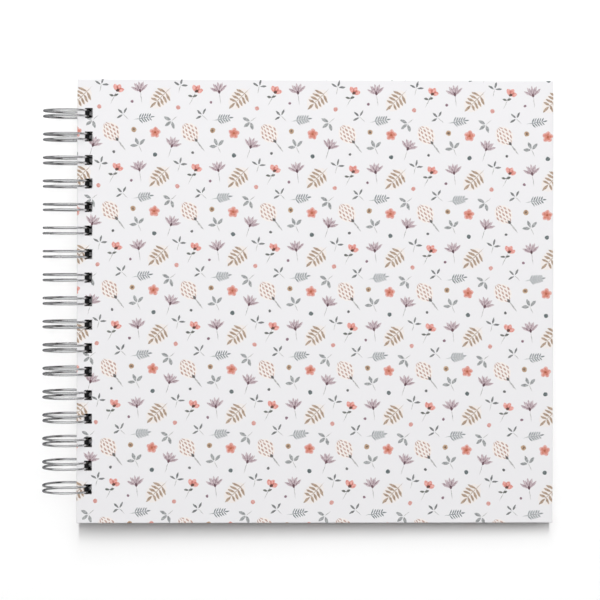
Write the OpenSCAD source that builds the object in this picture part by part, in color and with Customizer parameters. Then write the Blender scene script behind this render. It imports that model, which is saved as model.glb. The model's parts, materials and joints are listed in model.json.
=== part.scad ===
// Scrapbook album: two wrapped boards and a block of card leaves on one twin-loop wire binding.
// It lies shut with its front cover up. The origin is the centre of its footprint, level with the
// lowest point of the rings. +X runs from the rings to the fore edge, +Y to the head, +Z out of the cover.
// All pieces are drawn about the binding's axis, which is parallel to Y, and then placed.

/* [Covers] */
// Width of a cover, from spine edge to fore edge
cover_w = 258; // [180:1:320]
// Height of a cover, from tail to head
cover_h = 240; // [230:1:300]
// Thickness of the greyboard inside a cover
board_t = 1.7; // [1:0.1:2.5]
// Thickness of the printed wrapping paper
wrap_t = 0.2; // [0.1:0.05:0.3]
// Thickness of the lining paper inside a cover
liner_t = 0.15; // [0.1:0.05:0.25]
// Width of wrapping paper turned in over the inside of the board
turn_in = 15; // [12:1:25]
// Distance from the cover's edges to the lining paper
liner_margin = 3; // [2:0.5:6]

/* [Leaves] */
// Number of card leaves
leaf_count = 25; // [10:1:28]
// Thickness of one leaf
leaf_t = 0.33; // [0.2:0.01:0.4]
// Air between one sheet and the next
leaf_gap = 0.02; // [0.01:0.01:0.05]
// How far the covers stand out past the leaves at head and tail, and about as much at the fore edge
overhang = 4; // [2:0.5:8]

/* [Wire binding] */
// Number of twin loops, one to each punched hole
loop_count = 17; // [9:1:17]
// Distance from one loop to the next
pitch = 12.7; // [10:0.1:13.2]
// Diameter of a closed ring, across the middle of the wire
ring_d = 25.4; // [22:0.1:32]
// Diameter of the wire
wire_d = 1.2; // [0.8:0.05:1.5]
// Distance between the two wires of one loop
loop_w = 3; // [2.5:0.1:4]
// Bend radius where the wire turns along the spine between two loops
base_bend_r = 2; // [1.2:0.1:2.5]
// Gap left between a loop's tip and the wire it closes against
tip_gap = 0.1; // [0.05:0.05:0.5]
// Gap between the closed tips and the back cover
closure_gap = 0.4; // [0.2:0.1:1]

/* [Punched holes] */
// Gap between the wire and the hole's edge on the spine side
hole_play_in = 0.2; // [0.15:0.05:0.6]
// Gap between the wire and the hole's edge on the fore edge side
hole_play_out = 0.8; // [0.2:0.05:1.5]
// Gap between the wire and the hole's head and tail edges
hole_play_side = 0.6; // [0.2:0.05:1]
// Width of the strip between the holes and the spine edge
hole_margin = 4.1; // [3:0.1:6]

/* [Hidden] */
$fn = 48;
cut = 1; // how far a cutter runs past the sheet it cuts
ring_r = ring_d / 2;
wire_r = wire_d / 2;
tip_r = loop_w / 2;

// The shut stack, measured from the binding's axis
cover_t = wrap_t + board_t + wrap_t + liner_t;
stack_t = 2 * cover_t + leaf_count * leaf_t + (leaf_count + 1) * leaf_gap;
stack_top = stack_t / 2;
board_top = stack_top - wrap_t;
board_bottom = board_top - board_t;
turn_in_bottom = board_bottom - wrap_t;
cover_bottom = turn_in_bottom - liner_t;
leaf_step = leaf_t + leaf_gap;

// The holes clear the rings right through the stack, and the spine edge follows the holes
hole_near = sqrt(pow(ring_r - wire_r, 2) - pow(stack_top, 2)) - hole_play_in;
hole_far = ring_r + wire_r + hole_play_out;
hole_l = loop_w + wire_d + 2 * hole_play_side;
spine_x = hole_near - hole_margin;
fore_x = spine_x + cover_w;

// The closure, as angles round the ring below the back cover, and lengths along it
tip_angle = -asin((stack_top + wire_r + closure_gap) / ring_r);
bend_centres = tip_r + base_bend_r + wire_d + tip_gap;
tip_to_base = sqrt(pow(bend_centres, 2) - pow(tip_r + base_bend_r, 2));
base_angle = tip_angle - tip_to_base / ring_r * 180 / PI;
base_run = pitch - loop_w - 2 * base_bend_r;
bend_thinning = 0.02; // taken off the wire's radius round its tightest bends
bend_lap = 0.12; // how far a tight bend runs into the wire at its ends

// Where the binding's axis lies in the part's own frame
axis_x = -(fore_x - ring_r - wire_r) / 2;
axis_z = ring_r + wire_r;

function loop_y(i) = (i - (loop_count - 1) / 2) * pitch;
function leaf_top(i) = cover_bottom - leaf_gap - (i - 1) * leaf_step;
function leaf_name(i) = str("leaf_", i < 10 ? "0" : "", i);

// Each leaf slides out on the wire until its holes come as near to the rings as the covers' holes do
function leaf_reach(i) = max(abs(leaf_top(i)), abs(leaf_top(i) - leaf_t));
function leaf_slide(i) = sqrt(pow(ring_r - wire_r, 2) - pow(leaf_reach(i), 2)) - hole_play_in - hole_near;

LEAVES = [for (i = [1:leaf_count]) leaf_name(i)];
COVER_PIECES = ["front_wrap", "front_board", "front_liner", "back_wrap", "back_board", "back_liner"];

// Everything below is drawn about the binding's axis and moved to its place by this module.
module placed() {
    translate([axis_x, 0, axis_z]) children();
}

// A sheet or block of the cover's outline, set in from all its edges, between two heights
module cover_block(inset, z0, z1) {
    translate([spine_x + inset, inset - cover_h / 2, z0])
        cube([cover_w - 2 * inset, cover_h - 2 * inset, z1 - z0]);
}

// The row of punched holes, as cutters that run past both faces of a sheet
module hole_row(z0, z1) {
    for (i = [0:loop_count - 1])
        translate([hole_near, loop_y(i) - hole_l / 2, z0 - cut])
            cube([hole_far - hole_near, hole_l, z1 - z0 + 2 * cut]);
}

// Printed paper, glued over the board's outside and edges and turned in all round the inside
module wrap() {
    color("white") difference() {
        cover_block(0, turn_in_bottom, stack_top);
        cover_block(wrap_t, board_bottom, board_top);
        cover_block(turn_in, turn_in_bottom - cut, board_bottom + wrap_t / 2);
        hole_row(turn_in_bottom, stack_top);
    }
}

module board() {
    color("tan") difference() {
        cover_block(wrap_t, board_bottom, board_top);
        hole_row(board_bottom, board_top);
    }
}

// Lining paper, which steps down off the turn-ins onto the bare board
module liner() {
    color("whitesmoke") difference() {
        cover_block(liner_margin, cover_bottom, board_bottom);
        difference() {
            cover_block(liner_margin - cut, turn_in_bottom, board_bottom + cut);
            cover_block(turn_in, turn_in_bottom - cut, board_bottom + 2 * cut);
        }
        cover_block(turn_in + liner_t, cover_bottom - cut, board_bottom - liner_t);
        hole_row(cover_bottom, board_bottom);
    }
}

// One card leaf, counted from the front cover
module leaf(i) {
    z = leaf_top(i) - leaf_t;
    color("#222222") translate([leaf_slide(i), 0, 0]) difference() {
        translate([spine_x, overhang - cover_h / 2, z])
            cube([cover_w - 1.5 * overhang, cover_h - 2 * overhang, leaf_t]);
        hole_row(z, z + leaf_t);
    }
}

// Wire drawn round a bend in XY, about Z, from one angle to another
module bent(radius, from, to, thickness = wire_r) {
    rotate([0, 0, from]) rotate_extrude(angle = to - from) translate([radius, 0]) circle(thickness);
}

// A tight bend is a little thinner than the wire it joins, and its ends run into that wire
module tight_bend(radius, from, to) {
    lap = bend_lap / radius * 180 / PI;
    bent(radius, from - lap, to + lap, wire_r - bend_thinning);
}

// A ring's wire from its base, round under, past the outside and down through the holes to its tip
module ring() {
    rotate([90, 0, 0]) bent(ring_r, tip_angle, base_angle + 360);
}

// Puts a bend drawn flat in XY onto the ring at an angle: +X becomes the spine's +Y, and +Y goes up the ring
module on_ring(angle) {
    rotate([0, -angle, 0]) translate([ring_r, 0, 0]) rotate([90, 0, 90]) children();
}

// The wire's run along the spine from one loop to the next
module base_link() {
    translate([tip_r + base_bend_r, 0, 0]) tight_bend(base_bend_r, 90, 180);
    translate([pitch - tip_r - base_bend_r, 0, 0]) tight_bend(base_bend_r, 0, 90);
    translate([tip_r + base_bend_r, base_bend_r, 0]) rotate([0, 90, 0]) cylinder(r = wire_r, h = base_run);
}

// One continuous wire: a twin loop in each hole, and a link along the spine between loops
module wire_binding() {
    color("silver") {
        for (i = [0:loop_count - 1]) translate([0, loop_y(i), 0]) {
            for (side = [-1, 1]) translate([0, side * tip_r, 0]) ring();
            on_ring(tip_angle) tight_bend(tip_r, 180, 360);
        }
        for (i = [0:loop_count - 2]) translate([0, loop_y(i), 0]) on_ring(base_angle) base_link();
    }
}

// The back cover is the front cover turned over
module turned_over() {
    mirror([0, 0, 1]) children();
}

placed() wire_binding();
placed() wrap();  // front_wrap
placed() board();  // front_board
placed() liner();  // front_liner
placed() turned_over() wrap();  // back_wrap
placed() turned_over() board();  // back_board
placed() turned_over() liner();  // back_liner
for (i = [1:leaf_count]) placed() leaf(i);
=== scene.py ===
# %% [markdown]
# # A wire-bound scrapbook album
#
# A scrapbook album is two hard covers and a block of black card leaves. All of them are punched
# along one side and hang on a single silver wire, bent into a row of twin loops. The covers are
# greyboard wrapped in white paper with a small floral print.
#
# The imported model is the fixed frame: it holds every piece in its true place and size. This script
# gives each piece its finish, and makes three pieces again with more detail than the frame has:
# the two printed wrapping papers, with their rounded edges, and the round wire.

# %% Load the frame
import math
import json

import bmesh
import bpy
from mathutils import Matrix, Vector


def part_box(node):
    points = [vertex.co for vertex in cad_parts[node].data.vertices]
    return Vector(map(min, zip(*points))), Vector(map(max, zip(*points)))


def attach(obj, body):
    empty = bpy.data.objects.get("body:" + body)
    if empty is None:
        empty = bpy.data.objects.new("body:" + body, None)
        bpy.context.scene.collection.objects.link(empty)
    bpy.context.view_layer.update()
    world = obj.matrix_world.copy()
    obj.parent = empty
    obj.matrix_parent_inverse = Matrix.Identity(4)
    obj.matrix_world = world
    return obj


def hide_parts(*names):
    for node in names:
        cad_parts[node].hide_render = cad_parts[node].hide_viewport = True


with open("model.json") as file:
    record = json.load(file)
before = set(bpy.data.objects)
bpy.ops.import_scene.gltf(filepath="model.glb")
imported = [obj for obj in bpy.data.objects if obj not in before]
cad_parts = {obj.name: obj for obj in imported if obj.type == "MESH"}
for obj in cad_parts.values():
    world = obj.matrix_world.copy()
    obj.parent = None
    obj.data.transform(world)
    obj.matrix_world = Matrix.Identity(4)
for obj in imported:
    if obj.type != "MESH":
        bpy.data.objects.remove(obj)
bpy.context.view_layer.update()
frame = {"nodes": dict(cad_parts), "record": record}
MM = 0.001

# %% [markdown]
# ## Sizes
#
# What can be measured on the frame is measured, so that the new pieces land where the old ones were.
# The binding's axis is the hinge that every sheet turns on. The rest are stock sizes: wire is sold
# by its gauge and by how far apart its loops stand.

# %% Sizes of the covers, the holes and the wire
HINGE = Vector(frame["record"]["behaviour"]["joints"][0]["pos_m"])
COVER_LOW, COVER_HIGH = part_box("front_wrap")
BACK_LOW, BACK_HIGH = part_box("back_wrap")
WIRE_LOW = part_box("wire_binding")[0]

WIRE_D = 1.2 * MM
LOOPS = 17
PITCH = 12.7 * MM
LOOP_W = 3 * MM  # between the two wires of one loop
LINK_BEND = 2 * MM  # the bend between a loop and the run along the spine
TIP_GAP = 0.1 * MM  # between a closed tip and the bends on either side of it
CLOSURE_GAP = 0.4 * MM  # between the closed tips and the back cover

PAPER_T = 0.2 * MM
TURN_IN = 15 * MM  # the paper's width inside the cover
HOLE_MARGIN = 4.1 * MM  # from the spine edge to the holes
HOLE_PLAY_OUT = 0.8 * MM
HOLE_PLAY_SIDE = 0.6 * MM

RING_R = HINGE.z - WIRE_LOW.z - WIRE_D / 2
STACK_TOP = COVER_HIGH.z - HINGE.z
HOLE_W = HINGE.x + RING_R + WIRE_D / 2 + HOLE_PLAY_OUT - COVER_LOW.x - HOLE_MARGIN
HOLE_L = LOOP_W + WIRE_D + 2 * HOLE_PLAY_SIDE
LOOP_PLACES = [(i - (LOOPS - 1) / 2) * PITCH for i in range(LOOPS)]
print(f"ring radius {RING_R / MM:.2f} mm, holes {HOLE_W / MM:.2f} x {HOLE_L / MM:.2f} mm")

# %% [markdown]
# ## The table
#
# The rings stand out below the back cover, so a shut album doesn't lie level. It rests on the rings
# and on the far edge of its back cover. The frame keeps the album square, so here the table leans
# instead: it touches the rings' underside and that edge.

# %% A floor that touches the rings and the fore edge
RING_OUTER = RING_R + WIRE_D / 2
to_edge = Vector((BACK_HIGH.x - HINGE.x, 0, BACK_LOW.z - HINGE.z))
LEAN = math.asin(RING_OUTER / to_edge.length) + math.atan2(to_edge.z, to_edge.x)
TABLE_UP = Vector((-math.sin(LEAN), 0, math.cos(LEAN)))
TABLE_TURN = Matrix.Rotation(-LEAN, 4, "Y")
FLOOR_SIZE = 8
FLOOR_CLEAR = 0.03 * MM
table_point = HINGE - TABLE_UP * (RING_OUTER + FLOOR_CLEAR)

floor_mesh = bpy.data.meshes.new("floor")
half = FLOOR_SIZE / 2
square = [(-half, -half, 0), (half, -half, 0), (half, half, 0), (-half, half, 0)]
on_table = Matrix.Translation(table_point) @ TABLE_TURN
floor_mesh.from_pydata([on_table @ Vector(p) for p in square], [], [(0, 1, 2, 3)])
floor = bpy.data.objects.new("floor", floor_mesh)
bpy.context.collection.objects.link(floor)
floor.visible_glossy = False
print(f"the table leans {math.degrees(LEAN):.2f} degrees")

# %% [markdown]
# ## Camera and light
#
# The album is seen from straight above its table, a little above its middle, through a long lens.
# The lens is shifted down to bring the whole album into view without tipping the camera, which
# keeps the cover's sides parallel. Plain tone mapping keeps white paper white.

# %% Camera
CAMERA_PLACE = Vector((-26.3, 33.2, 1100)) * MM
CAMERA_ROLL = math.radians(0.134)
camera_data = bpy.data.cameras.new("camera")
camera_data.lens = 119.72
camera_data.sensor_width = 36
camera_data.shift_y = -0.1
camera_data.clip_start = 0.05
camera = bpy.data.objects.new("camera", camera_data)
camera.matrix_world = (
    Matrix.Translation(CAMERA_PLACE) @ Matrix.Rotation(CAMERA_ROLL, 4, "Z") @ TABLE_TURN
)
bpy.context.collection.objects.link(camera)
bpy.context.scene.camera = camera
bpy.context.scene.view_settings.view_transform = "Standard"


# %% [markdown]
# A long strip lamp hangs high over the table, past the album's head and running away from it. It is
# narrow across and far away, so the sides throw almost no shadow, and the tail edge throws a short
# soft one. Two nearer lamps soften that light and make the head end of the cover a little lighter.
#
# Silver wire shows its surroundings rather than its own colour. A wide dim panel hangs overhead only
# to be reflected, which gives the wire a light back. The other lamps and the white floor are hidden
# from reflections, so that the wire's sides stay grey and it has an outline on white.


# %% Lamps
def lamp(name, place, width, depth, watts, aimed=False):
    """A rectangular lamp, in metres, that faces straight down or is aimed at the album."""
    data = bpy.data.lights.new(name, "AREA")
    data.shape = "RECTANGLE"
    data.size = width
    data.size_y = depth
    data.energy = watts
    made = bpy.data.objects.new(name, data)
    made.location = place
    if aimed:
        made.rotation_euler = (-Vector(place)).to_track_quat("-Z", "Y").to_euler()
    made.visible_glossy = False
    bpy.context.collection.objects.link(made)
    return made


lamp("strip", (0, 3.8, 9), 0.4, 5.2, 660)
lamp("panel", (0, 0.6, 1.25), 2.2, 0.8, 5.2)
lamp("head_lamp", (0, 0.7, 0.8), 0.3, 0.4, 1.75, aimed=True)
reflected = lamp("reflected_panel", (-0.4, 0.35, 1.3), 5.2, 2.6, 36)
reflected.visible_glossy = True
reflected.visible_diffuse = False


# %% A grey room, darkest at the horizon
JUST_BELOW = -0.1  # the slope of view, as its z, at which the lower part begins


def grey_room(overhead, horizon, below):
    """Surroundings with one brightness straight up, one at the horizon and one below it."""
    world = bpy.data.worlds.new("room")
    world.use_nodes = True
    tree = world.node_tree
    parts = tree.nodes.new("ShaderNodeSeparateXYZ")
    tree.links.new(tree.nodes.new("ShaderNodeTexCoord").outputs["Generated"], parts.inputs[0])
    above = tree.nodes.new("ShaderNodeMapRange")
    under = tree.nodes.new("ShaderNodeMapRange")
    spans = ((above, 0, 1, horizon, overhead), (under, JUST_BELOW, 0, below - horizon, 0))
    for made, *values in spans:
        tree.links.new(parts.outputs[2], made.inputs["Value"])
        for socket, value in zip(("From Min", "From Max", "To Min", "To Max"), values, strict=True):
            made.inputs[socket].default_value = value
    both = tree.nodes.new("ShaderNodeMath")
    tree.links.new(above.outputs[0], both.inputs[0])
    tree.links.new(under.outputs[0], both.inputs[1])
    background = tree.nodes["Background"]
    tree.links.new(both.outputs[0], background.inputs["Strength"])
    background.inputs["Color"].default_value = (1, 1, 1, 1)
    bpy.context.scene.world = world


grey_room(overhead=0.25, horizon=0.16, below=0.4)

# %% [markdown]
# ## Writing materials as formulas
#
# A shader is a tree of small steps. `node` adds one step and hands back its output, so that a
# pattern can be written as a formula, from the inside out, and read like one.


# %% Helpers for node trees
def node(tree, kind, *values, output=0, **settings):
    """Adds a node, sets or links its first inputs in order, and returns one of its outputs."""
    made = tree.nodes.new(kind)
    for name, value in settings.items():
        setattr(made, name, value)
    for socket, value in zip(made.inputs, values, strict=False):
        if isinstance(value, bpy.types.NodeSocket):
            tree.links.new(value, socket)
        elif value is not None:
            socket.default_value = value
    return made.outputs[output]


def math_node(tree, operation, *values):
    return node(tree, "ShaderNodeMath", *values, operation=operation)


def vector_node(tree, operation, *values):
    return node(tree, "ShaderNodeVectorMath", *values, operation=operation)


def length_of(tree, vector):
    return node(tree, "ShaderNodeVectorMath", vector, operation="LENGTH", output=1)


def split(tree, vector):
    """The x and y of a vector."""
    made = tree.nodes.new("ShaderNodeSeparateXYZ")
    tree.links.new(vector, made.inputs[0])
    return made.outputs[0], made.outputs[1]


def ramp(tree, value, start, end, low=0.0, high=1.0):
    """A smooth step from low to high as the value goes from start to end."""
    return node(
        tree, "ShaderNodeMapRange", value, start, end, low, high, interpolation_type="SMOOTHSTEP"
    )


def blend_colours(tree, share, first, second):
    """One colour over another. The three colour sockets of a Mix node are its 1st, 7th and 8th."""
    made = tree.nodes.new("ShaderNodeMix")
    made.data_type = "RGBA"
    for index, value in ((0, share), (6, first), (7, second)):
        if isinstance(value, bpy.types.NodeSocket):
            tree.links.new(value, made.inputs[index])
        else:
            made.inputs[index].default_value = value
    return made.outputs[2]


def grain(tree, place, scale, detail=2.0, roughness=0.5):
    """Soft noise from 0 to 1."""
    return node(tree, "ShaderNodeTexNoise", place, None, scale, detail, roughness)


def ink(red, green, blue):
    """A colour given as on a screen, from 0 to 255, in the linear values that a shader takes."""

    def linear(value):
        share = value / 255
        return share / 12.92 if share <= 0.04045 else ((share + 0.055) / 1.055) ** 2.4

    return (linear(red), linear(green), linear(blue), 1.0)


def new_material(name, colour, roughness, metallic=0.0):
    """An empty Principled material, with its tree and shader."""
    material = bpy.data.materials.new(name)
    material.use_nodes = True
    shader = material.node_tree.nodes["Principled BSDF"]
    shader.inputs["Base Color"].default_value = colour
    shader.inputs["Roughness"].default_value = roughness
    shader.inputs["Metallic"].default_value = metallic
    material.diffuse_color = colour
    return material, material.node_tree, shader


def object_place(tree):
    """Where a point is on the object, in metres."""
    return node(tree, "ShaderNodeTexCoord", output=3)


def add_bump(tree, shader, height, depth):
    """Roughens a surface: a height from 0 to 1 stands up to depth, in metres."""
    made = tree.nodes.new("ShaderNodeBump")
    made.inputs["Strength"].default_value = 1.0
    made.inputs["Distance"].default_value = depth
    tree.links.new(height, made.inputs["Height"])
    tree.links.new(made.outputs["Normal"], shader.inputs["Normal"])


def vary_roughness(tree, shader, value, low, high):
    """Lets the shader's roughness follow a noise from low to high."""
    tree.links.new(ramp(tree, value, 0.3, 0.7, low, high), shader.inputs["Roughness"])


# %% [markdown]
# ## Plain papers, board and card
#
# None of these is one flat colour. Lining paper and the back of the wrapping paper show faint
# fibres. Greyboard is pulped from old paper, so its cut edge is speckled. Black card is dyed in the
# pulp and has a dull tooth that catches the light.


# %% Fibres, board and card
CLOUDS, FIBRES, FLECKS = 180, 2200, 900  # how many of each there are in a metre
LAYERS = (60, 60, 2500)  # greyboard's layers are long, wide and thin


def fibrous_paper(name, colour, roughness, contrast, tooth):
    """Uncoated paper: faint clouds of colour and a fine tooth."""
    material, tree, shader = new_material(name, colour, roughness)
    place = object_place(tree)
    clouds = grain(tree, place, CLOUDS, 4, 0.6)
    fibres = grain(tree, place, FIBRES, 3, 0.7)
    darker = tuple(c * (1 - contrast) for c in colour[:3]) + (1,)
    cloud_share = math_node(tree, "MULTIPLY", clouds, 0.6)
    fibre_share = math_node(tree, "MULTIPLY", fibres, 0.4)
    mixed = math_node(tree, "ADD", cloud_share, fibre_share)
    colour_out = blend_colours(tree, ramp(tree, mixed, 0.35, 0.65), darker, colour)
    tree.links.new(colour_out, shader.inputs["Base Color"])
    shader.inputs["Specular IOR Level"].default_value = 0.3
    add_bump(tree, shader, fibres, tooth)
    return material


def speckled_board(name):
    """Greyboard: grey pulp with darker and lighter flecks, in thin layers."""
    material, tree, shader = new_material(name, ink(150, 144, 136), 0.95)
    place = object_place(tree)
    flecks = grain(tree, place, FLECKS, 2, 0.6)
    in_layers = node(tree, "ShaderNodeMapping", place, None, None, LAYERS)
    layers = grain(tree, in_layers, 1.0, 2, 0.5)
    pulp = blend_colours(tree, ramp(tree, layers, 0.3, 0.7), ink(128, 122, 114), ink(162, 156, 148))
    fleck = blend_colours(tree, ramp(tree, flecks, 0.62, 0.68), pulp, ink(96, 92, 88))
    tree.links.new(fleck, shader.inputs["Base Color"])
    add_bump(tree, shader, layers, 0.06 * MM)
    return material


WHITE_PAPER = ink(228, 227, 229)
paper_back = fibrous_paper("paper_back", WHITE_PAPER, 0.75, 0.04, 0.01 * MM)
lining_paper = fibrous_paper("white_lining", ink(236, 236, 234), 0.8, 0.05, 0.015 * MM)
leaf_card = fibrous_paper("black_card", ink(34, 34, 36), 0.82, 0.35, 0.03 * MM)
greyboard = speckled_board("speckled_greyboard")
print("papers", paper_back.name, lining_paper.name, leaf_card.name, greyboard.name)

# %% [markdown]
# ## The floral print
#
# The wrapping paper carries a small watercolour print that repeats every few centimetres. It is
# painted by the shader on a map of the flat, unfolded sheet, in millimetres, so that it runs on
# over the cover's edges without a break, as a real sheet does.
#
# Every leaf and petal is one kind of stroke: the lens shape where two circles overlap. Folding the
# paper's coordinates before drawing it turns one stroke into many. Folded round a point it makes a
# flower, and folded across a line and along it, a fern. The ink's edge wavers because the place is
# nudged by noise first, and its tone varies as watercolour does.

# %% Strokes, in millimetres
REPEAT = 42.6  # from one copy of the print to the next
SOFT_EDGE = 0.07  # how far the ink fades out on either side of a stroke's edge
FROND_TAPER = 0.35  # how much shorter a frond's last leaflets are than its first
FROND_STEM = 0.36  # width of its stem
SEED_ACROSS, SEED_UP = 1.95, 2.3  # from one seed to the next
SEED_LENGTH, SEED_WIDTH = 2.35, 0.95
SEED_POLES = 1.12  # how far past the oval's ends the rows would meet


def lens(tree, at, centre_y, length, width):
    """How far inside an upright leaf-shaped stroke a point is, in millimetres."""
    bow = (length**2 + width**2) / (4 * width)
    moved = vector_node(tree, "SUBTRACT", at, (0, centre_y, 0))
    folded = vector_node(tree, "ABSOLUTE", moved)
    from_circle = vector_node(tree, "ADD", folded, (bow - width / 2, 0, 0))
    return math_node(tree, "SUBTRACT", bow, length_of(tree, from_circle))


def spray(tree, at, strokes, step, start, length, width):
    """Strokes that spread like a fan from a point, a step apart, in degrees."""
    x, y = split(tree, at)
    turn = math_node(tree, "ARCTAN2", x, y)
    reach = (strokes - 1) / 2
    radians = math.radians(step)
    places = math_node(tree, "DIVIDE", turn, radians)
    if strokes % 2 == 0:
        nearest = math_node(tree, "ADD", math_node(tree, "FLOOR", places), 0.5)
    else:
        nearest = math_node(tree, "ROUND", places)
    kept = math_node(tree, "MAXIMUM", math_node(tree, "MINIMUM", nearest, reach), -reach)
    within = math_node(tree, "SUBTRACT", turn, math_node(tree, "MULTIPLY", kept, radians))
    far = length_of(tree, at)
    folded = node(
        tree,
        "ShaderNodeCombineXYZ",
        math_node(tree, "MULTIPLY", far, math_node(tree, "SINE", within)),
        math_node(tree, "MULTIPLY", far, math_node(tree, "COSINE", within)),
    )
    return lens(tree, folded, start + length / 2, length, width)


def frond(tree, at, pairs, step, slant, length, width):
    """Pairs of leaflets that slant up from an upright stem and shorten towards its tip."""
    x, y = split(tree, at)
    side = math_node(tree, "ABSOLUTE", x)
    upright = math_node(tree, "SUBTRACT", y, math_node(tree, "MULTIPLY", side, slant))
    index = math_node(tree, "FLOOR", math_node(tree, "DIVIDE", upright, step))
    index = math_node(tree, "MAXIMUM", math_node(tree, "MINIMUM", index, pairs - 1.0), 0.0)
    middle = math_node(tree, "MULTIPLY", math_node(tree, "ADD", index, 0.5), step)
    along = math_node(tree, "SUBTRACT", upright, middle)
    shorter = math_node(tree, "MULTIPLY", index, FROND_TAPER / pairs)
    shrink = math_node(tree, "SUBTRACT", 1.0, shorter)
    folded = node(tree, "ShaderNodeCombineXYZ", along, math_node(tree, "DIVIDE", side, shrink))
    leaflets = lens(tree, folded, length / 2, length, width)
    tall = pairs * step
    # the stem runs on below the lowest pair, and one more leaflet stands at its top
    stem = lens(tree, at, tall * 0.4, tall * 1.5, FROND_STEM)
    tip = lens(tree, at, tall + length * 0.4, length * 0.95, width)
    return math_node(tree, "MAXIMUM", math_node(tree, "MAXIMUM", leaflets, stem), tip)


def round_spot(tree, at, radius):
    """How far inside a disc a point is."""
    return math_node(tree, "SUBTRACT", radius, length_of(tree, at))


def oval(tree, at, centre_y, half_width, half_height):
    """Roughly how far inside an oval a point is."""
    moved = vector_node(tree, "SUBTRACT", at, (0, centre_y, 0))
    scaled = vector_node(tree, "DIVIDE", moved, (half_width, half_height, 1))
    inside = math_node(tree, "SUBTRACT", 1.0, length_of(tree, scaled))
    return math_node(tree, "MULTIPLY", inside, half_width)


def seeds(tree, at, half_width, half_height):
    """Short strokes in staggered rows that fill an oval and close in towards its ends, like the
    lines from pole to pole of a globe."""
    x, y = split(tree, at)
    level = math_node(tree, "DIVIDE", y, half_height * SEED_POLES)
    level_squared = math_node(tree, "MULTIPLY", level, level)
    narrowing = math_node(tree, "SQRT", math_node(tree, "SUBTRACT", 1.0, level_squared))
    wide = math_node(tree, "DIVIDE", x, math_node(tree, "MAXIMUM", narrowing, 0.3))
    row = math_node(tree, "ROUND", math_node(tree, "DIVIDE", y, SEED_UP))
    odd = math_node(tree, "MODULO", math_node(tree, "ABSOLUTE", row), 2.0)
    shift = math_node(tree, "MULTIPLY", odd, 0.5)
    places = math_node(tree, "SUBTRACT", math_node(tree, "DIVIDE", wide, SEED_ACROSS), shift)
    column = math_node(tree, "ADD", math_node(tree, "ROUND", places), shift)
    cell_x = math_node(tree, "MULTIPLY", column, SEED_ACROSS)
    cell = node(tree, "ShaderNodeCombineXYZ", cell_x, math_node(tree, "MULTIPLY", row, SEED_UP))
    on_globe = node(tree, "ShaderNodeCombineXYZ", wide, y)
    from_cell = vector_node(tree, "SUBTRACT", on_globe, cell)
    stroke = lens(tree, from_cell, 0.0, SEED_LENGTH, SEED_WIDTH)
    # a seed is kept or left out as a whole, by where its middle lies
    inside = oval(tree, cell, 0.0, half_width * 1.02, half_height)
    return math_node(tree, "MINIMUM", stroke, math_node(tree, "MULTIPLY", inside, 4.0))


def as_mask(tree, distance):
    """From 0 outside a stroke to 1 inside it."""
    return ramp(tree, distance, -SOFT_EDGE, SOFT_EDGE)


# %% [markdown]
# A motif is a few such strokes about one point, with a colour for each layer. `Painter` holds what
# all motifs share: the wavering place on the sheet, the tone of the ink, and the picture so far.
# Each layer goes over the last, as inks do.


# %% The painter
WAVER = 0.7  # how far the strokes' edges stray, in millimetres
WAVES, TONES = 0.75, 0.9  # waves of the edge, and changes of the ink's tone, in a millimetre


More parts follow.
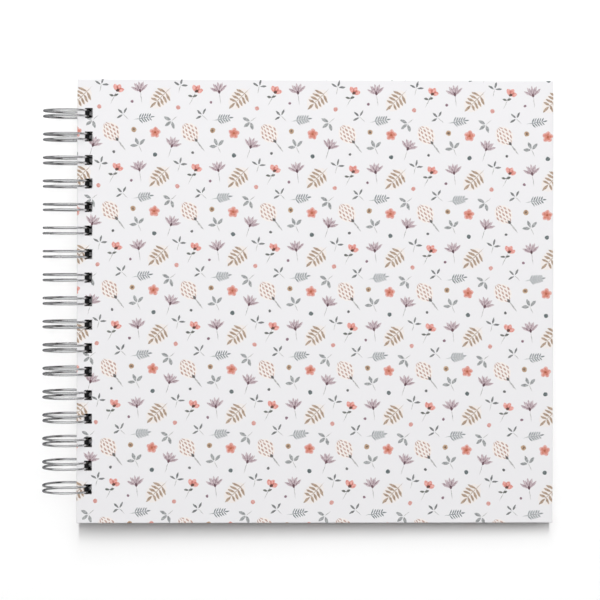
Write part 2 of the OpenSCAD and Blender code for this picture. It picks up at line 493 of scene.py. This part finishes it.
class Painter:
    """Paints motifs one over another on a repeating sheet."""

    def __init__(self, tree, place, paper):
        self.tree = tree
        self.picture = paper
        waver = node(tree, "ShaderNodeTexNoise", place, None, WAVES, 2.0, 0.5, output=1)
        off_centre = vector_node(tree, "SUBTRACT", waver, (0.5, 0.5, 0.5))
        nudge = vector_node(tree, "MULTIPLY", off_centre, (WAVER, WAVER, 0))
        self.place = vector_node(tree, "ADD", place, nudge)
        self.tone = ramp(tree, grain(tree, place, TONES, 3, 0.6), 0.35, 0.65)

    def about(self, x, y, turn=0.0):
        """The sheet's place as seen from a motif's own point, repeated over the sheet."""
        tree = self.tree
        moved = vector_node(tree, "SUBTRACT", self.place, (x, -y, 0))
        half_repeat = (REPEAT / 2,) * 3
        wrapped = vector_node(tree, "WRAP", moved, half_repeat, tuple(-v for v in half_repeat))
        flat = vector_node(tree, "MULTIPLY", wrapped, (1, 1, 0))
        if not turn:
            return flat
        angle = math.radians(turn)
        return node(
            tree, "ShaderNodeVectorRotate", flat, None, None, angle, rotation_type="Z_AXIS"
        )

    def paint(self, distance, light, dark, strength=1.0):
        """Lays a stroke's ink on the picture: thin where the tone is light, full where it is dark."""
        tree = self.tree
        colour = blend_colours(tree, self.tone, light, dark)
        share = math_node(tree, "MULTIPLY", as_mask(tree, distance), strength)
        self.picture = blend_colours(tree, share, self.picture, colour)

    def stem(self, at, start, length, width=0.34):
        """A thin stalk that hangs down from a motif's point."""
        line = lens(self.tree, at, start - length / 2, length, width)
        self.paint(line, ink(196, 194, 192), ink(150, 150, 150))

    def leaf_spray(self, x, y, turn, step, length, width, light, dark):
        """Three leaves round a short stalk."""
        at = self.about(x, y, turn)
        self.stem(at, 0.4, 4.4)
        self.paint(spray(self.tree, at, 3, step, 0.5, length, width), light, dark)

    def dark_sprig(self, x, y, turn):
        self.leaf_spray(x, y, turn, 73, 3.6, 1.1, ink(134, 136, 136), ink(94, 97, 98))

    def pale_sprig(self, x, y, turn):
        self.leaf_spray(x, y, turn, 66, 4.2, 1.7, ink(170, 172, 172), ink(128, 131, 132))

    def bloom(self, x, y):
        """A coral flower seen from the side, on a stalk with a pair of leaves."""
        self.stem(self.about(x, y, 26), 0.0, 8.4)
        leaf_pair = spray(self.tree, self.about(x - 1.8, y + 2.8, -4), 2, 150, 0.0, 2.6, 1.2)
        self.paint(leaf_pair, ink(120, 122, 116), ink(84, 88, 84))
        at = self.about(x, y, 28)
        petals = spray(self.tree, at, 3, 52, 0.0, 3.8, 2.5)
        self.paint(petals, ink(228, 176, 168), ink(208, 130, 120))
        folds = spray(self.tree, at, 2, 52, 0.3, 2.4, 0.9)
        self.paint(folds, ink(196, 108, 98), ink(172, 84, 74), 0.7)
        cup = lens(self.tree, self.about(x, y, 70), 0.3, 2.1, 1.5)
        self.paint(cup, ink(104, 70, 62), ink(78, 52, 48))

    def fan(self, x, y, turn):
        """A mauve flower of narrow petals that spread from one point."""
        self.stem(self.about(x, y, turn * 0.8), 0.0, 6.4)
        at = self.about(x, y, turn)
        petals = spray(self.tree, at, 5, 27, 0.2, 5.5, 1.5)
        self.paint(petals, ink(204, 190, 194), ink(170, 150, 157))
        folds = spray(self.tree, at, 4, 34, 0.2, 4.9, 0.65)
        self.paint(folds, ink(158, 138, 144), ink(114, 90, 98), 0.7)
        self.paint(lens(self.tree, at, 0.4, 2.2, 1.3), ink(110, 80, 88), ink(74, 50, 60))

    def fern(self, x, y, turn):
        """A tan frond with a pale wash round it."""
        at = self.about(x, y, turn)
        wash = oval(self.tree, at, 5.4, 4.6, 6.6)
        self.paint(wash, ink(236, 226, 218), ink(234, 220, 209), 0.4)
        leaves = frond(self.tree, at, 4, 2.15, 0.34, 5.0, 1.4)
        self.paint(leaves, ink(184, 163, 144), ink(146, 124, 106))

    def dark_frond(self, x, y, turn):
        """A small slate-green frond."""
        at = self.about(x, y, turn)
        leaves = frond(self.tree, at, 5, 1.35, 0.6, 2.8, 0.72)
        self.paint(leaves, ink(120, 128, 130), ink(76, 88, 92))

    def seed_head(self, x, y, turn):
        """A round head of rust strokes on a cream ground."""
        at = self.about(x, y, turn)
        self.stem(at, -5.2, 7.6, 0.8)
        ground = oval(self.tree, at, 0, 4.5, 5.3)
        self.paint(ground, ink(238, 231, 225), ink(237, 226, 217), 0.6)
        self.paint(seeds(self.tree, at, 4.5, 5.3), ink(202, 174, 164), ink(172, 138, 126))
        self.paint(lens(self.tree, at, -5.3, 2.1, 1.5), ink(110, 106, 104), ink(80, 78, 78))

    def flower(self, x, y):
        """A coral flower of five petals, seen from above."""
        at = self.about(x, y, 6)
        petals = spray(self.tree, at, 5, 72, 0.0, 3.05, 2.6)
        self.paint(petals, ink(222, 176, 170), ink(208, 142, 132))
        heart = spray(self.tree, at, 5, 72, 0.0, 2.2, 1.5)
        self.paint(heart, ink(202, 120, 98), ink(190, 100, 76), 0.75)
        self.paint(round_spot(self.tree, at, 0.6), ink(176, 92, 64), ink(156, 78, 52))

    def dot(self, x, y, radius, light, dark):
        """A round blot of one ink."""
        self.paint(round_spot(self.tree, self.about(x, y), radius), light, dark)


# %% [markdown]
# One repeat holds seven flowers, ferns and seed heads, with four leaf sprigs and five dots in the
# gaps between them. Places are in millimetres from the sheet's corner, across and down, and turns
# are in degrees clockwise.


# %% Lay out the repeat
SKEW = math.radians(0.46)  # sheets are never cut quite square to their print


def print_pattern(tree, paper):
    """The whole print as one colour. The map named print holds millimetres on the flat sheet."""
    flat = node(tree, "ShaderNodeUVMap", uv_map="print")
    turned = node(tree, "ShaderNodeVectorRotate", flat, None, None, SKEW, rotation_type="Z_AXIS")
    painter = Painter(tree, turned, paper)
    painter.fern(48.5, 6.0, 225)
    painter.dark_sprig(13.0, 3.0, 13)
    painter.bloom(21.5, 6.0)
    painter.fan(34.0, 6.4, -10)
    painter.dot(29.6, 11.8, 0.75, ink(150, 122, 134), ink(110, 84, 96))
    painter.dot(11.9, 14.8, 1.15, ink(213, 163, 156), ink(197, 138, 130))
    painter.pale_sprig(8.5, 22.0, -130)
    painter.dark_sprig(25.0, 18.8, -47)
    painter.dark_frond(32.8, 21.2, 81)
    painter.seed_head(18.5, 28.2, -38)
    painter.dot(30.7, 27.0, 1.4, ink(196, 168, 140), ink(160, 130, 104))
    painter.dot(30.7, 27.0, 0.65, ink(128, 106, 90), ink(100, 84, 74))
    painter.flower(42.2, 28.4)
    painter.pale_sprig(33.5, 35.6, -25)
    painter.fan(8.6, 36.0, 21)
    painter.dot(20.0, 39.1, 0.75, ink(112, 112, 112), ink(82, 82, 84))
    painter.dot(42.3, 40.4, 1.15, ink(112, 120, 120), ink(74, 86, 88))
    return painter.picture


COATED_FIBRES = 1500  # in a metre


def printed_paper():
    """The wrapping paper: white, printed and satin varnished."""
    material, tree, shader = new_material("printed_paper", WHITE_PAPER, 0.55)
    tree.links.new(print_pattern(tree, WHITE_PAPER), shader.inputs["Base Color"])
    place = object_place(tree)
    fibres = grain(tree, place, COATED_FIBRES, 3, 0.6)
    vary_roughness(tree, shader, fibres, 0.5, 0.62)
    shader.inputs["Specular IOR Level"].default_value = 0.35
    add_bump(tree, shader, fibres, 0.004 * MM)
    return material


printed = printed_paper()
print("nodes in the print", len(printed.node_tree.nodes))

# %% [markdown]
# ## The wrapped covers
#
# A cover's paper is one sheet. It lies on the outside of the board, turns over all four edges and
# ends in a strip glued inside. Real edges are never knife-sharp, so the outline and the edge are
# rounded by less than half a millimetre.
#
# The outside and the strips are flat, so they are built as grids whose cells leave out the punched
# holes. The turned edge joins them: the same rounded outline, drawn at each step round the bend.

# %% A cover's own measures
ROUND = 0.45 * MM
BEND_STEPS = 5
COVER_W = COVER_HIGH.x - COVER_LOW.x
COVER_L = COVER_HIGH.y - COVER_LOW.y
WRAP_H = COVER_HIGH.z - COVER_LOW.z
BEND_LENGTH = math.pi / 2 * ROUND
EDGE_LENGTH = 2 * BEND_LENGTH + WRAP_H - 2 * ROUND

hole_edges_y = sorted(y + side * HOLE_L / 2 for y in LOOP_PLACES for side in (-1, 1))


def in_hole(x, y):
    """Is this point, measured from the cover's spine edge and middle, inside a punched hole?"""
    beside = HOLE_MARGIN < x < HOLE_MARGIN + HOLE_W
    return beside and any(abs(y - place) < HOLE_L / 2 for place in LOOP_PLACES)


def in_strip(x, y):
    """Is this point on the paper that is turned in?"""
    near_side = x < TURN_IN or x > COVER_W - TURN_IN
    return near_side or abs(y) > COVER_L / 2 - TURN_IN


# %% [markdown]
# Each corner of the paper gets two places on flat maps. The map named print holds millimetres on the
# unfolded sheet, for the pattern. The one named OFBake holds the same sheet scaled to fill a square,
# for saving the finished colours as a picture. The paper's glued side is never seen, so it is packed
# small into the strip that the sheet leaves free along the top of that square.


# %% A sheet of paper, gathered face by face
BAKE_SIDE = 300 * MM  # of the square that the unfolded sheet is laid out in
BAKE_EDGE = 20 * MM  # from that square's corner to the cover's own
SHELF_LEFT, SHELF_WIDTH = 0.02, 0.9  # the free strip's lines, as shares of the square
SHELF_BOTTOM, SHELF_STEP, SHELF_FILL = 0.94, 0.015, 0.8
SIDE_STRETCH = 90  # makes the board's low sides fill their lines


class Sheet:
    """Gathers a cover's paper, in the cover's own place: x from the spine edge, y from its middle
    and z down from its outer face."""

    def __init__(self, reads):
        self.mesh = bmesh.new()
        self.flat = self.mesh.loops.layers.uv.new("print")
        self.bake = self.mesh.loops.layers.uv.new("OFBake")
        self.reads = reads  # 1, or -1 for a cover that is looked at from below

    def face(self, corners, places, slot, shelf=None):
        """Adds a face. A hidden one gives its shelf: which line of the free strip it is packed in."""
        made = self.mesh.faces.new([self.mesh.verts.new(c) for c in corners])
        made.material_index = slot
        for loop, place in zip(made.loops, places, strict=True):
            x, y = place[0], place[1] + COVER_L / 2
            loop[self.flat].uv = (self.reads * x / MM, (y - COVER_L) / MM)
            if shelf is None:
                loop[self.bake].uv = ((x + BAKE_EDGE) / BAKE_SIDE, (y + BAKE_EDGE) / BAKE_SIDE)
            else:
                line = shelf + SHELF_FILL * y / COVER_L
                across = SHELF_LEFT + SHELF_WIDTH * x / COVER_W
                loop[self.bake].uv = (across, SHELF_BOTTOM + SHELF_STEP * line)

    def grid(self, xs, ys, z, keep, slot, unfold, shelf=None):
        """A flat grid at one depth, without the cells that aren't kept."""
        for x0, x1 in zip(xs, xs[1:]):
            for y0, y1 in zip(ys, ys[1:]):
                if keep((x0 + x1) / 2, (y0 + y1) / 2):
                    corners = [(x0, y0), (x1, y0), (x1, y1), (x0, y1)]
                    places = [unfold(*c) for c in corners]
                    self.face([(*c, z) for c in corners], places, slot, shelf)

    def walls(self, xs, ys, z0, z1, keep, slot, unfold):
        """Upright faces round the cells that a grid leaves out. On the flat maps they lie where the
        paper is missing."""
        deep = z1 - z0

        def wall(first, second, away):
            corners = [(*first, z0), (*second, z0), (*second, z1), (*first, z1)]
            moved = [(p[0] + away[0] * deep, p[1] + away[1] * deep) for p in (second, first)]
            self.face(corners, [unfold(*p) for p in (first, second, *moved)], slot)

        for i, x in enumerate(xs[1:-1], 1):
            for y0, y1 in zip(ys, ys[1:]):
                before = keep((xs[i - 1] + x) / 2, (y0 + y1) / 2)
                if before != keep((x + xs[i + 1]) / 2, (y0 + y1) / 2):
                    wall((x, y0), (x, y1), (1 if before else -1, 0))
        for j, y in enumerate(ys[1:-1], 1):
            for x0, x1 in zip(xs, xs[1:]):
                before = keep((x0 + x1) / 2, (ys[j - 1] + y) / 2)
                if before != keep((x0 + x1) / 2, (y + ys[j + 1]) / 2):
                    wall((x0, y), (x1, y), (0, 1 if before else -1))


def keep_outside(x, y):
    return not in_hole(x, y)


def keep_strip(x, y):
    return in_strip(x, y) and not in_hole(x, y)


def unfold_face(x, y):
    return (x, y)


def unfold_strip(x, y):
    """Where a point of the turned-in strip lies on the flat sheet: past the nearest edge."""
    gaps = {"spine": x, "fore": COVER_W - x, "tail": y + COVER_L / 2, "head": COVER_L / 2 - y}
    side = min(gaps, key=gaps.get)
    past = EDGE_LENGTH + gaps[side] - 2 * ROUND
    if side == "spine":
        return (-past, y)
    if side == "fore":
        return (COVER_W + past, y)
    if side == "tail":
        return (x, -COVER_L / 2 - past)
    return (x, COVER_L / 2 + past)


# %% [markdown]
# The edge's cross-section goes round the first bend, down the board's side and round the second
# bend. Each step says how far in from the outline it is, how deep, and how much paper it has used.


# %% The turned edge
def edge_steps():
    """(inset, depth, paper used) at each step round the cover's edge."""
    steps = []
    for i in range(BEND_STEPS + 1):
        turn = math.pi / 2 * i / BEND_STEPS
        steps.append((ROUND * (1 - math.sin(turn)), ROUND * (1 - math.cos(turn)), ROUND * turn))
    for i in range(BEND_STEPS + 1):
        turn = math.pi / 2 * i / BEND_STEPS
        inset = ROUND * (1 - math.cos(turn))
        depth = WRAP_H - ROUND * (1 - math.sin(turn))
        steps.append((inset, depth, EDGE_LENGTH - BEND_LENGTH + ROUND * turn))
    return steps


def outline(xs, ys):
    """(place on the inset rectangle, direction outwards) at each point round the cover."""
    left, right = ROUND, COVER_W - ROUND
    low, high = -COVER_L / 2 + ROUND, COVER_L / 2 - ROUND
    xs = [min(max(x, left), right) for x in xs]
    ys = [min(max(y, low), high) for y in ys]
    sides = [
        ([(x, low) for x in xs], -90),
        ([(right, y) for y in ys], 0),
        ([(x, high) for x in reversed(xs)], 90),
        ([(left, y) for y in reversed(ys)], 180),
    ]
    points = []
    for places, direction in sides:
        points += [(Vector(p), math.radians(direction)) for p in places]
        for i in range(1, BEND_STEPS):
            points.append((Vector(places[-1]), math.radians(direction + 90 * i / BEND_STEPS)))
    return points


def add_edge(sheet, xs, ys, slot):
    """Joins the outside to the strips, round the edge."""
    ring = outline(xs, ys)
    steps = edge_steps()

    def corner(point, step):
        base, turn = point
        outwards = Vector((math.cos(turn), math.sin(turn)))
        at = base + outwards * (ROUND - step[0])
        flat = base + outwards * step[2]
        return (at.x, at.y, step[1]), (flat.x, flat.y)

    for first, second in zip(ring, ring[1:] + ring[:1]):
        for upper, lower in zip(steps, steps[1:]):
            around = ((first, upper), (first, lower), (second, lower), (second, upper))
            pairs = [corner(point, step) for point, step in around]
            sheet.face([p[0] for p in pairs], [p[1] for p in pairs], slot)


# %% [markdown]
# The glued side of the paper follows the board: a flat face, four square sides and the back of the
# strips. It is plain paper, like the cut edges in the holes.


# %% Build one cover's paper
PRINTED, PLAIN = 0, 1


def wrap_mesh(name, reads):
    """The finished paper of one cover, outer face at z = 0 and the cover below it."""
    sheet = Sheet(reads)
    half_l = COVER_L / 2
    inner_x = [HOLE_MARGIN, HOLE_MARGIN + HOLE_W, TURN_IN, COVER_W - TURN_IN]
    inner_y = [-half_l + TURN_IN, *hole_edges_y, half_l - TURN_IN]
    outer_x = [ROUND, *inner_x, COVER_W - ROUND]
    outer_y = [-half_l + ROUND, *inner_y, half_l - ROUND]
    glued_x = [PAPER_T, *inner_x, COVER_W - PAPER_T]
    glued_y = [-half_l + PAPER_T, *inner_y, half_l - PAPER_T]
    deep = WRAP_H - PAPER_T

    sheet.grid(outer_x, outer_y, 0, keep_outside, PRINTED, unfold_face)
    add_edge(sheet, outer_x, outer_y, PRINTED)
    sheet.grid(outer_x, outer_y, WRAP_H, keep_strip, PRINTED, unfold_strip)
    sheet.grid(glued_x, glued_y, PAPER_T, keep_outside, PLAIN, unfold_face, 0)
    sheet.grid(glued_x, glued_y, deep, keep_strip, PLAIN, unfold_face, 1)
    sheet.walls(outer_x, outer_y, 0, PAPER_T, keep_outside, PLAIN, unfold_face)
    sheet.walls(outer_x, outer_y, deep, WRAP_H, keep_strip, PLAIN, unfold_strip)
    ends_x, ends_y = (glued_x[0], glued_x[-1]), (glued_y[0], glued_y[-1])
    upright = [((x, y0), (x, y1), 2) for x in ends_x for y0, y1 in zip(glued_y, glued_y[1:])]
    upright += [((x0, y), (x1, y), 3) for y in ends_y for x0, x1 in zip(glued_x, glued_x[1:])]
    for first, second, shelf in upright:
        corners = [(*first, PAPER_T), (*second, PAPER_T), (*second, deep), (*first, deep)]
        along = [
            (p[0] if shelf == 3 else p[1] + half_l, z * SIDE_STRETCH - half_l) for *p, z in corners
        ]
        sheet.face(corners, along, PLAIN, shelf)

    bmesh.ops.remove_doubles(sheet.mesh, verts=sheet.mesh.verts, dist=0.001 * MM)
    bmesh.ops.recalc_face_normals(sheet.mesh, faces=sheet.mesh.faces)
    made = bpy.data.meshes.new(name)
    sheet.mesh.to_mesh(made)
    open_edges = sum(not e.is_manifold for e in sheet.mesh.edges)
    sheet.mesh.free()
    print(name, len(made.polygons), "faces,", open_edges, "open edges")
    return made


def finish_wrap(name, place, reads, body, node_name):
    """Puts a cover's paper in its place, as a mesh at the origin."""
    made = wrap_mesh(name, reads)
    made.transform(place)
    if place.determinant() < 0:
        made.flip_normals()
    piece = bpy.data.objects.new(name, made)
    bpy.context.collection.objects.link(piece)
    for material in (printed, paper_back):
        made.materials.append(material)
    for polygon in made.polygons:
        polygon.use_smooth = False
    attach(piece, body)
    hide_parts(node_name)


downwards = Matrix.Scale(-1, 4, (0, 0, 1))
front_place = Matrix.Translation((COVER_LOW.x, 0, COVER_HIGH.z)) @ downwards
back_place = Matrix.Translation((BACK_LOW.x, 0, BACK_LOW.z))
finish_wrap("front_paper", front_place, 1, "front_cover", "front_wrap")
finish_wrap("back_paper", back_place, -1, "back_cover_and_binding", "back_wrap")

# %% [markdown]
# ## Boards, linings and leaves
#
# These are flat sheets with punched holes, which the frame already has right, so they only need
# their finish.

# %% Finishes for the frame's own pieces
for node_name, piece in frame["nodes"].items():
    if node_name.endswith("_board"):
        finish = greyboard
    elif node_name.endswith("_liner"):
        finish = lining_paper
    elif node_name.startswith("leaf_"):
        finish = leaf_card
    else:
        continue
    for slot in piece.material_slots:
        slot.material = finish

# %% [markdown]
# ## The wire
#
# The binding is one length of steel wire. From a run along the spine it goes round a loop and back
# beside itself, so each hole holds two wires, and then along the spine to the next loop. The closed
# tips tuck in between those runs, below the back cover.
#
# One loop's path is drawn as a line of points. Geometry Nodes repeat it along the spine, join the
# copies end to end into one path, and sweep a circle along it.


# %% The path of one loop
RING_STEPS, TURN_STEPS = 72, 6  # round a ring, and round each tight bend


def loop_path():
    """Points from the middle of one run to the middle of the next, about the binding's axis."""
    tip_turn = -math.asin((STACK_TOP + WIRE_D / 2 + CLOSURE_GAP) / RING_R)
    leg = LOOP_W / 2
    apart = leg + LINK_BEND + WIRE_D + TIP_GAP
    base_turn = tip_turn - math.sqrt(apart**2 - (leg + LINK_BEND) ** 2) / RING_R

    def on_ring(turn, y):
        return Vector((RING_R * math.cos(turn), y, RING_R * math.sin(turn)))

    def up_ring(turn):
        return Vector((-math.sin(turn), 0, math.cos(turn)))

    run = LINK_BEND * up_ring(base_turn)
    half_way = [on_ring(base_turn, -PITCH / 2) + run]
    for i in range(TURN_STEPS):
        turn = math.pi / 2 * i / TURN_STEPS
        y = -leg - LINK_BEND * (1 - math.sin(turn))
        half_way.append(on_ring(base_turn, y) + run * math.cos(turn))
    for i in range(RING_STEPS + 1):
        share = i / RING_STEPS
        turn = base_turn + (tip_turn - 2 * math.pi - base_turn) * share
        half_way.append(on_ring(turn, -leg))
    for i in range(1, TURN_STEPS + 1):
        turn = math.pi / 2 * i / TURN_STEPS
        y = -leg * math.cos(turn)
        half_way.append(on_ring(tip_turn, y) - up_ring(tip_turn) * leg * math.sin(turn))
    other_half = [Vector((p.x, -p.y, p.z)) for p in reversed(half_way[:-1])]
    return half_way + other_half


unit = bpy.data.meshes.new("wire_unit")
points = [p + Vector((HINGE.x, 0, HINGE.z)) for p in loop_path()]
unit.from_pydata(points, [(i, i + 1) for i in range(len(points) - 1)], [])
wire = bpy.data.objects.new("silver_wire", unit)
bpy.context.collection.objects.link(wire)
print("points in one loop", len(points))

# %% [markdown]
# Plated wire is a bright metal that still isn't a mirror: the die that it was drawn through leaves a
# faint grain, and handling dulls it in patches. In light as soft as this its shadow would be only a
# faint grey between the rings, and it is left out.


# %% Silver
DULL_PATCHES, DRAW_MARKS = 90, 4000  # in a metre


def silver_wire():
    material, tree, shader = new_material("silver_wire", ink(222, 223, 224), 0.2, 1.0)
    shader.inputs["Specular Tint"].default_value = ink(160, 161, 164)
    place = object_place(tree)
    vary_roughness(tree, shader, grain(tree, place, DULL_PATCHES, 3, 0.6), 0.2, 0.28)
    add_bump(tree, shader, grain(tree, place, DRAW_MARKS, 1, 0.5), 0.0003 * MM)
    return material


silver = silver_wire()


# %% Geometry Nodes: repeat the loop, join, sweep
SAME_PLACE = 0.01 * MM  # points nearer than this are one
WIRE_SIDES = 14


def wire_tree(material):
    """The tree: one loop's path in, the whole binding's mesh out."""
    tree = bpy.data.node_groups.new("twin_loop_wire", "GeometryNodeTree")
    face = tree.interface
    face.new_socket("Loop", in_out="INPUT", socket_type="NodeSocketGeometry")
    face.new_socket("Loops", in_out="INPUT", socket_type="NodeSocketInt")
    for name in ("Pitch", "Wire Diameter", "Loop Width"):
        face.new_socket(name, in_out="INPUT", socket_type="NodeSocketFloat")
    face.new_socket("Sides", in_out="INPUT", socket_type="NodeSocketInt")
    face.new_socket("Wire", in_out="OUTPUT", socket_type="NodeSocketGeometry")
    given = tree.nodes.new("NodeGroupInput").outputs

    def number(operation, *values):
        return math_node(tree, operation, *values)

    half_pitch = number("MULTIPLY", given["Pitch"], 0.5)
    half_run = number("MULTIPLY", number("SUBTRACT", given["Loops"], 1.0), half_pitch)
    first = node(tree, "ShaderNodeCombineXYZ", 0.0, number("MULTIPLY", half_run, -1.0), 0.0)
    step = node(tree, "ShaderNodeCombineXYZ", 0.0, given["Pitch"], 0.0)
    places = tree.nodes.new("GeometryNodeMeshLine")
    places.mode = "OFFSET"
    tree.links.new(given["Loops"], places.inputs["Count"])
    tree.links.new(first, places.inputs["Start Location"])
    tree.links.new(step, places.inputs["Offset"])

    copies = tree.nodes.new("GeometryNodeInstanceOnPoints")
    tree.links.new(places.outputs["Mesh"], copies.inputs["Points"])
    tree.links.new(given["Loop"], copies.inputs["Instance"])
    real = node(tree, "GeometryNodeRealizeInstances", copies.outputs["Instances"])
    joined = tree.nodes.new("GeometryNodeMergeByDistance")
    tree.links.new(real, joined.inputs["Geometry"])
    joined.inputs["Distance"].default_value = SAME_PLACE

    # the first and last loops end in a cut leg, so the half runs past them go
    place = node(tree, "GeometryNodeInputPosition")
    parts = tree.nodes.new("ShaderNodeSeparateXYZ")
    tree.links.new(place, parts.inputs[0])
    from_middle = number("ABSOLUTE", parts.outputs[1])
    end_leg = number("ADD", half_run, number("MULTIPLY", given["Loop Width"], 0.5))
    past = tree.nodes.new("FunctionNodeCompare")
    past.operation = "GREATER_THAN"
    tree.links.new(from_middle, past.inputs[0])
    tree.links.new(number("ADD", end_leg, SAME_PLACE), past.inputs[1])
    trimmed = tree.nodes.new("GeometryNodeDeleteGeometry")
    trimmed.domain = "POINT"
    tree.links.new(joined.outputs[0], trimmed.inputs["Geometry"])
    tree.links.new(past.outputs[0], trimmed.inputs["Selection"])

    path = node(tree, "GeometryNodeMeshToCurve", trimmed.outputs[0])
    section = tree.nodes.new("GeometryNodeCurvePrimitiveCircle")
    tree.links.new(given["Sides"], section.inputs["Resolution"])
    tree.links.new(number("MULTIPLY", given["Wire Diameter"], 0.5), section.inputs["Radius"])
    tube = tree.nodes.new("GeometryNodeCurveToMesh")
    tree.links.new(path, tube.inputs["Curve"])
    tree.links.new(section.outputs["Curve"], tube.inputs["Profile Curve"])
    tube.inputs["Fill Caps"].default_value = True
    smooth = node(tree, "GeometryNodeSetShadeSmooth", tube.outputs["Mesh"])
    solid = node(tree, "GeometryNodeRealizeInstances", smooth)
    finished = tree.nodes.new("GeometryNodeSetMaterial")
    tree.links.new(solid, finished.inputs["Geometry"])
    finished.inputs["Material"].default_value = material
    out = tree.nodes.new("NodeGroupOutput")
    tree.links.new(finished.outputs["Geometry"], out.inputs["Wire"])
    return tree


def apply_tree(piece, tree, **values):
    """Runs a Geometry Nodes tree on a piece and leaves the result as its plain mesh."""
    modifier = piece.modifiers.new(tree.name, "NODES")
    modifier.node_group = tree
    for socket in tree.interface.items_tree:
        if socket.in_out == "INPUT" and socket.name in values:
            modifier[socket.identifier] = values[socket.name]
    piece.update_tag()
    ready = bpy.context.evaluated_depsgraph_get()
    made = bpy.data.meshes.new_from_object(piece.evaluated_get(ready), depsgraph=ready)
    piece.modifiers.remove(modifier)
    piece.data = made
    made.name = piece.name
    return made


swept = apply_tree(
    wire,
    wire_tree(silver),
    **{
        "Loops": LOOPS,
        "Pitch": PITCH,
        "Wire Diameter": WIRE_D,
        "Loop Width": LOOP_W,
        "Sides": WIRE_SIDES,
    },
)
wire.visible_shadow = False
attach(wire, "back_cover_and_binding")
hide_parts("wire_binding")
print("wire faces", len(swept.polygons))

# %% [markdown]
# ## The floor's finish
#
# A plain white board, a little lighter than the covers.

# %% Floor
floor_finish, floor_tree, floor_shader = new_material("white_floor", (0.99, 0.99, 0.99, 1), 0.9)
floor_shader.inputs["Specular IOR Level"].default_value = 0.1
floor_mesh.materials.append(floor_finish)
